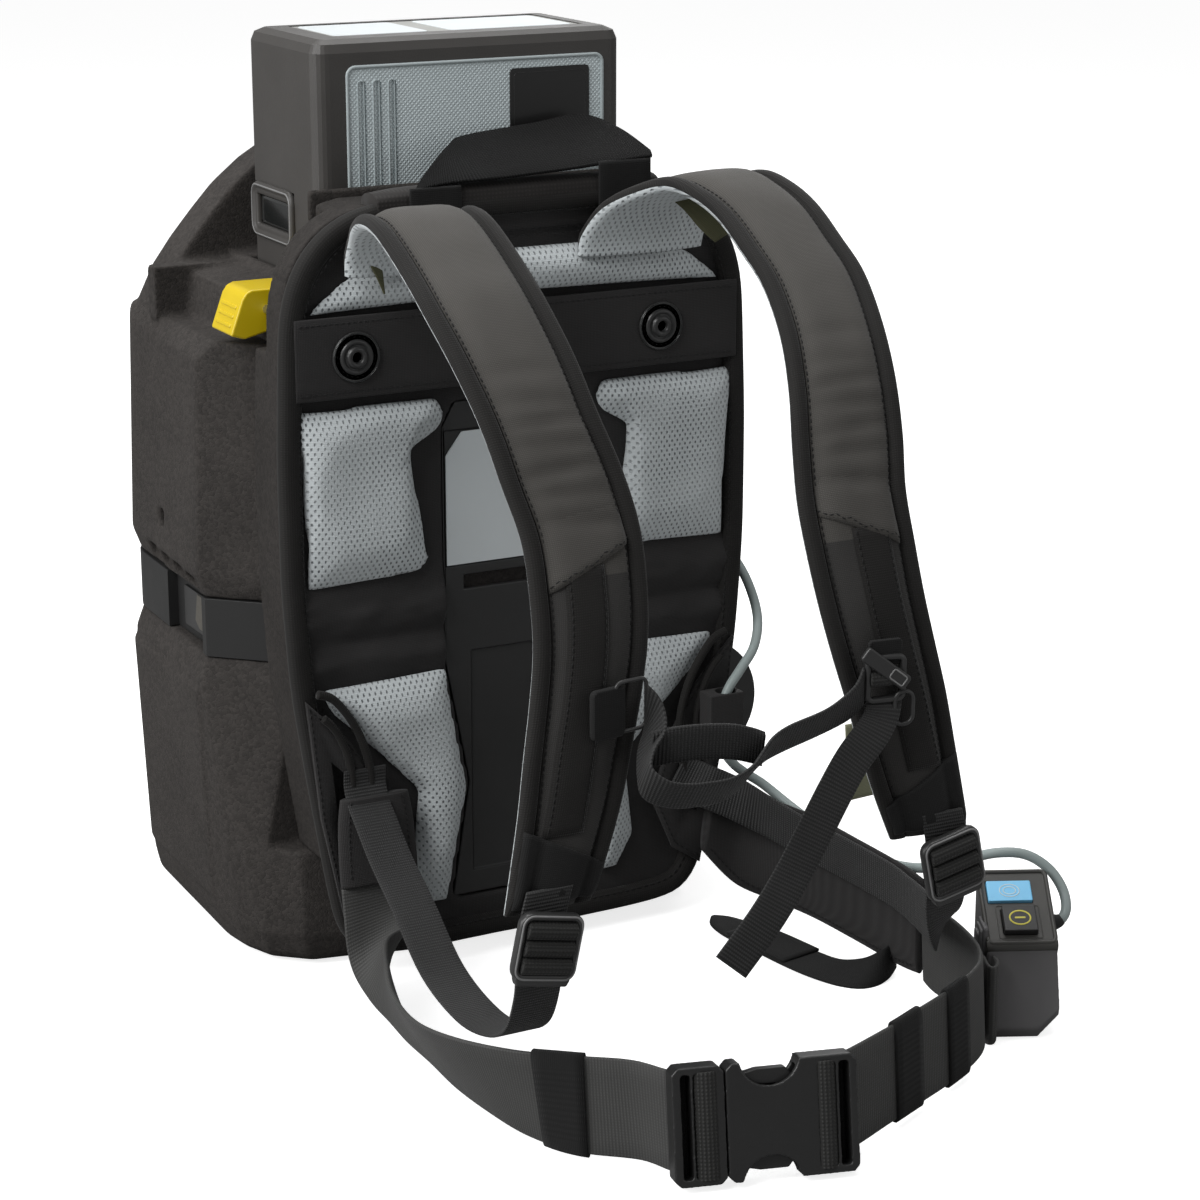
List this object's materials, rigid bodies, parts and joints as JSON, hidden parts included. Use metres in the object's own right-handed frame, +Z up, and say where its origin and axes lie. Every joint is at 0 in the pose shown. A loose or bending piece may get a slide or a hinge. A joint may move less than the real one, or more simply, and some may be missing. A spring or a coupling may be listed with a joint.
{
  "type": "backpack vacuum cleaner",
  "caption": "Backpack vacuum cleaner: foam shells on a padded harness, lift-out battery, swivelling hose inlet, rear dust lid and a cabled control on the hip belt.",
  "frame": {"origin": "middle of the flat base that the machine stands on", "axes": "+X to the wearer's right of the panel as it faces you, +Y away from the wearer, +Z up"},
  "size_m": [0.3858, 0.5651, 0.512],
  "materials": {
    "battery_grey": "textured moulding",
    "battery_slate": "fine diamond texture",
    "board_green": "circuit board",
    "button_blue": "membrane key",
    "cable_grey": "smooth cable sheath",
    "card_tan": "pressed card",
    "cell_green": "shrink sleeve",
    "cover_grey": "printed cover, bare",
    "fabric_black": "woven nylon",
    "fan_alloy": "pressed sheet",
    "filter_dark": "open-cell filter foam",
    "filter_white": "filter fleece",
    "foam_black": "moulded bead foam, fine mottled surface",
    "latch_yellow": "moulded, slightly glossy",
    "mesh_grey": "spacer mesh",
    "plastic_black": "injection moulded, fine grain",
    "plate_black": "plain satin plate",
    "plate_white": "plain white plate",
    "seal_rubber": "soft black foam rubber",
    "steel": "plain ground steel",
    "strap_charcoal": "padded woven nylon",
    "webbing_black": "ribbed webbing",
    "window_clear": "smoked window"
  },
  "bodies": {
    "pack": {"carrier_frame": "foam_black", "upper_shell": "foam_black", "mid_band": "plastic_black", "lower_shell": "foam_black", "nameplate": "steel", "lid_hinge_pin": "steel", "lid_seal": "seal_rubber", "contact_block": "plastic_black", "latch_pin": "steel", "latch_spring": "steel", "fan_housing": "plastic_black", "motor_can": "steel", "control_board": "board_green", "pre_motor_filter": "filter_white", "exhaust_filter": "filter_dark", "dust_bag": "filter_white", "bag_collar": "card_tan", "inlet_duct": "plastic_black", "back_panel": "fabric_black", "panel_binding": "fabric_black", "mesh_pads": "mesh_grey", "centre_tray": "plastic_black", "info_plate": "plate_white", "cross_band": "webbing_black", "press_studs": "plastic_black", "carry_handle": "webbing_black", "shoulder_strap_left": "strap_charcoal", "shoulder_strap_right": "strap_charcoal", "strap_webbing": "webbing_black", "strap_adjusters": "plastic_black", "chest_strap": "webbing_black", "chest_hardware": "plastic_black", "belt_wings": "fabric_black", "belt_webbing_left": "webbing_black", "belt_webbing_right": "webbing_black", "belt_keepers": "webbing_black", "buckle_male": "plastic_black", "buckle_female": "plastic_black", "control_case": "plastic_black", "control_cover": "cover_grey", "cable": "cable_grey", "cable_sleeve": "plastic_black"},
    "battery": {"battery_case": "battery_grey", "battery_face_panel": "battery_slate", "battery_label_plates": "plate_black", "battery_window_bezel": "plastic_black", "battery_window": "window_clear", "battery_cells": "cell_green", "battery_contacts": "steel"},
    "latch": {"battery_latch": "latch_yellow"},
    "lid": {"rear_lid": "foam_black"},
    "lid_lever": {"lid_latch": "plastic_black"},
    "inlet": {"inlet_drum": "plastic_black"},
    "rotor": {"impeller": "fan_alloy", "motor_shaft": "steel"},
    "power_key": {"power_button": "plastic_black"},
    "eco_key": {"eco_button": "button_blue"},
    "prong_a": {"prong_upper": "plastic_black"},
    "prong_b": {"prong_lower": "plastic_black"}
  },
  "joints": [
    {"name": "battery_lift", "type": "slide", "parent": "pack", "child": "battery", "axis": [0, 0, 1], "range_m": [0, 0.15]},
    {"name": "battery_release", "type": "hinge", "parent": "pack", "child": "latch", "pos_m": [-0.127, -0.055, 0.373], "axis": [0, -1, 0], "range_deg": [0, 10], "stiffness_Nm_per_rad": 0.6, "springref_deg": -20.05},
    {"name": "lid_hinge", "type": "hinge", "parent": "pack", "child": "lid", "pos_m": [0, 0.106, 0.026], "axis": [-1, 0, 0], "range_deg": [0, 90]},
    {"name": "lid_lever_hinge", "type": "hinge", "parent": "lid", "child": "lid_lever", "pos_m": [0, 0.109, 0.144], "axis": [-1, 0, 0], "range_deg": [0, 40], "stiffness_Nm_per_rad": 0.1, "springref_deg": -11.46},
    {"name": "inlet_swivel", "type": "hinge", "parent": "pack", "child": "inlet", "pos_m": [0.141, -0.054, 0.111], "axis": [0, -1, 0], "range_deg": [0, 100]},
    {"name": "fan_spin", "type": "hinge", "parent": "pack", "child": "rotor", "pos_m": [0, 0.022, 0.22], "axis": [0, 0, 1], "continuous": true},
    {"name": "power_press", "type": "slide", "parent": "pack", "child": "power_key", "axis": [0.2303, 0.4939, -0.8384], "range_m": [0, 0.0015], "stiffness_N_per_m": 600, "springref_m": -0.002},
    {"name": "eco_press", "type": "slide", "parent": "pack", "child": "eco_key", "axis": [0.2303, 0.4939, -0.8384], "range_m": [0, 0.0015], "stiffness_N_per_m": 600, "springref_m": -0.002},
    {"name": "prong_upper_squeeze", "type": "hinge", "parent": "pack", "child": "prong_a", "pos_m": [-0.04144, -0.42096, 0.05154], "axis": [0.2614, 0.9426, -0.2079], "range_deg": [0, 7], "stiffness_Nm_per_rad": 1.5, "springref_deg": -5.73},
    {"name": "prong_lower_squeeze", "type": "hinge", "parent": "pack", "child": "prong_b", "pos_m": [-0.04378, -0.42938, 0.01046], "axis": [-0.2614, -0.9426, 0.2079], "range_deg": [0, 7], "stiffness_Nm_per_rad": 1.5, "springref_deg": -5.73}
  ]
}
